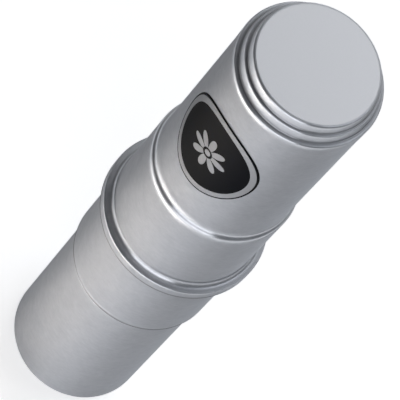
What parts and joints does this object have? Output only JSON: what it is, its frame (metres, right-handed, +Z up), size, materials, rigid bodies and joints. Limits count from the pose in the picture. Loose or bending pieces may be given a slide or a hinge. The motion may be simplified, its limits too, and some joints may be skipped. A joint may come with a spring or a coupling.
{
  "type": "ganza shaker",
  "caption": "Tubular metal ganza shaker: two spun aluminium cups with narrow grips, stepped shoulders and a hemmed rim between them, with loose steel shot sealed inside.",
  "frame": {"origin": "centre of the lower cup's flat end, which the shaker stands on", "axes": "+Z up along the tube's axis towards the stepped end; -Y is the side with the badge"},
  "size_m": [0.0593, 0.0592, 0.2439],
  "materials": {
    "spun_aluminium": "satin, with fine turning lines round the axis",
    "badge_foil": "gloss black print with a silver border",
    "steel_shot": "tumbled bright steel"
  },
  "bodies": {
    "shell": {"upper_shell": "spun_aluminium", "lower_shell": "spun_aluminium", "badge": "badge_foil"},
    "shot_01": {"shot_01": "steel_shot"},
    "shot_02": {"shot_02": "steel_shot"},
    "shot_03": {"shot_03": "steel_shot"},
    "shot_04": {"shot_04": "steel_shot"},
    "shot_05": {"shot_05": "steel_shot"},
    "shot_06": {"shot_06": "steel_shot"},
    "shot_07": {"shot_07": "steel_shot"},
    "shot_08": {"shot_08": "steel_shot"},
    "shot_09": {"shot_09": "steel_shot"},
    "shot_10": {"shot_10": "steel_shot"},
    "shot_11": {"shot_11": "steel_shot"},
    "shot_12": {"shot_12": "steel_shot"},
    "shot_13": {"shot_13": "steel_shot"},
    "shot_14": {"shot_14": "steel_shot"},
    "shot_15": {"shot_15": "steel_shot"},
    "shot_16": {"shot_16": "steel_shot"},
    "shot_17": {"shot_17": "steel_shot"},
    "shot_18": {"shot_18": "steel_shot"},
    "shot_19": {"shot_19": "steel_shot"}
  },
  "joints": [
    {"name": "shot_01_flight", "type": "slide", "parent": "shell", "child": "shot_01", "axis": [0, 0, 1], "range_m": [0, 0.2345]},
    {"name": "shot_02_flight", "type": "slide", "parent": "shell", "child": "shot_02", "axis": [0, 0, 1], "range_m": [0, 0.2345]},
    {"name": "shot_03_flight", "type": "slide", "parent": "shell", "child": "shot_03", "axis": [0, 0, 1], "range_m": [0, 0.2345]},
    {"name": "shot_04_flight", "type": "slide", "parent": "shell", "child": "shot_04", "axis": [0, 0, 1], "range_m": [0, 0.2345]},
    {"name": "shot_05_flight", "type": "slide", "parent": "shell", "child": "shot_05", "axis": [0, 0, 1], "range_m": [0, 0.2345]},
    {"name": "shot_06_flight", "type": "slide", "parent": "shell", "child": "shot_06", "axis": [0, 0, 1], "range_m": [0, 0.2345]},
    {"name": "shot_07_flight", "type": "slide", "parent": "shell", "child": "shot_07", "axis": [0, 0, 1], "range_m": [0, 0.2345]},
    {"name": "shot_08_flight", "type": "slide", "parent": "shell", "child": "shot_08", "axis": [0, 0, 1], "range_m": [0, 0.2345]},
    {"name": "shot_09_flight", "type": "slide", "parent": "shell", "child": "shot_09", "axis": [0, 0, 1], "range_m": [0, 0.2345]},
    {"name": "shot_10_flight", "type": "slide", "parent": "shell", "child": "shot_10", "axis": [0, 0, 1], "range_m": [0, 0.2345]},
    {"name": "shot_11_flight", "type": "slide", "parent": "shell", "child": "shot_11", "axis": [0, 0, 1], "range_m": [0, 0.2345]},
    {"name": "shot_12_flight", "type": "slide", "parent": "shell", "child": "shot_12", "axis": [0, 0, 1], "range_m": [0, 0.2345]},
    {"name": "shot_13_flight", "type": "slide", "parent": "shell", "child": "shot_13", "axis": [0, 0, 1], "range_m": [0, 0.2345]},
    {"name": "shot_14_flight", "type": "slide", "parent": "shell", "child": "shot_14", "axis": [0, 0, 1], "range_m": [0, 0.2345]},
    {"name": "shot_15_flight", "type": "slide", "parent": "shell", "child": "shot_15", "axis": [0, 0, 1], "range_m": [0, 0.2345]},
    {"name": "shot_16_flight", "type": "slide", "parent": "shell", "child": "shot_16", "axis": [0, 0, 1], "range_m": [0, 0.2345]},
    {"name": "shot_17_flight", "type": "slide", "parent": "shell", "child": "shot_17", "axis": [0, 0, 1], "range_m": [0, 0.2345]},
    {"name": "shot_18_flight", "type": "slide", "parent": "shell", "child": "shot_18", "axis": [0, 0, 1], "range_m": [0, 0.2345]},
    {"name": "shot_19_flight", "type": "slide", "parent": "shell", "child": "shot_19", "axis": [0, 0, 1], "range_m": [0, 0.2345]}
  ]
}
